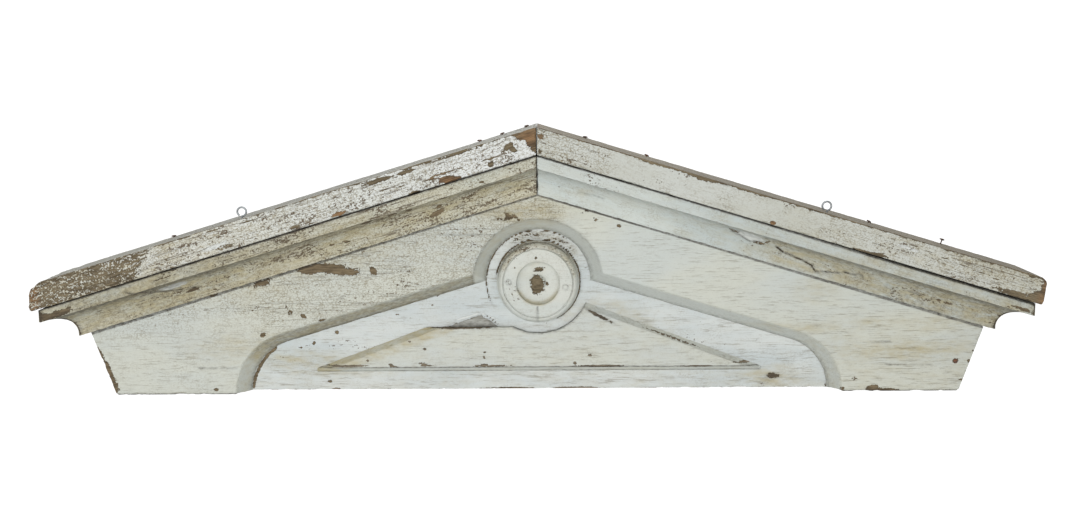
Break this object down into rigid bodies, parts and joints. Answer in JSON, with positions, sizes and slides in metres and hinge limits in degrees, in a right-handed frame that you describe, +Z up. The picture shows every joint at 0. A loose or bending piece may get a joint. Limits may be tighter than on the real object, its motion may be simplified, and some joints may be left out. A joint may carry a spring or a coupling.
{
  "type": "painted wooden gable pediment for a door or window head",
  "caption": "Low painted wooden pediment with mitred cap and cove crown, arched cut-out, turned rosette and applied triangular panel, hung by screw eyes.",
  "frame": {"origin": "on the flat back that lies on the wall, straight behind the rosette's centre", "axes": "+X along the object to the right as seen from the front, +Y into the wall, +Z up; the front looks along -Y"},
  "size_m": [1.4955, 0.121, 0.4107],
  "materials": {
    "board_paint": "old bluish white oil paint with fine grain and small losses",
    "front_paint": "crackled cream white oil paint with dirt in the cracks and bare patches",
    "panel_paint": "old white oil paint, dirty on the upper bevels, chipped along the lower edge",
    "rosette_paint": "old white oil paint, bare wood at the button",
    "crown_paint": "yellowed white oil paint with olive stains and flaking",
    "cap_paint": "weathered alligatored white oil paint, bare brown wood at the ends and top edges",
    "zinc_wire": "new zinc-plated steel wire",
    "rusty_iron": "rusty cut-nail heads"
  },
  "bodies": {
    "root": {"back_board": "board_paint", "front_board": "front_paint", "triangle_panel": "panel_paint", "rosette": "rosette_paint", "crown_left": "crown_paint", "crown_right": "crown_paint", "crown_return_left": "crown_paint", "crown_return_right": "crown_paint", "cap_left": "cap_paint", "cap_right": "cap_paint", "screw_eye_left": "zinc_wire", "screw_eye_right": "zinc_wire", "board_nail": "rusty_iron", "bent_nail": "rusty_iron", "cap_nail_1": "rusty_iron", "cap_nail_2": "rusty_iron", "cap_nail_3": "rusty_iron", "cap_nail_4": "rusty_iron", "cap_nail_5": "rusty_iron", "cap_nail_6": "rusty_iron", "cap_nail_7": "rusty_iron"}
  },
  "joints": []
}
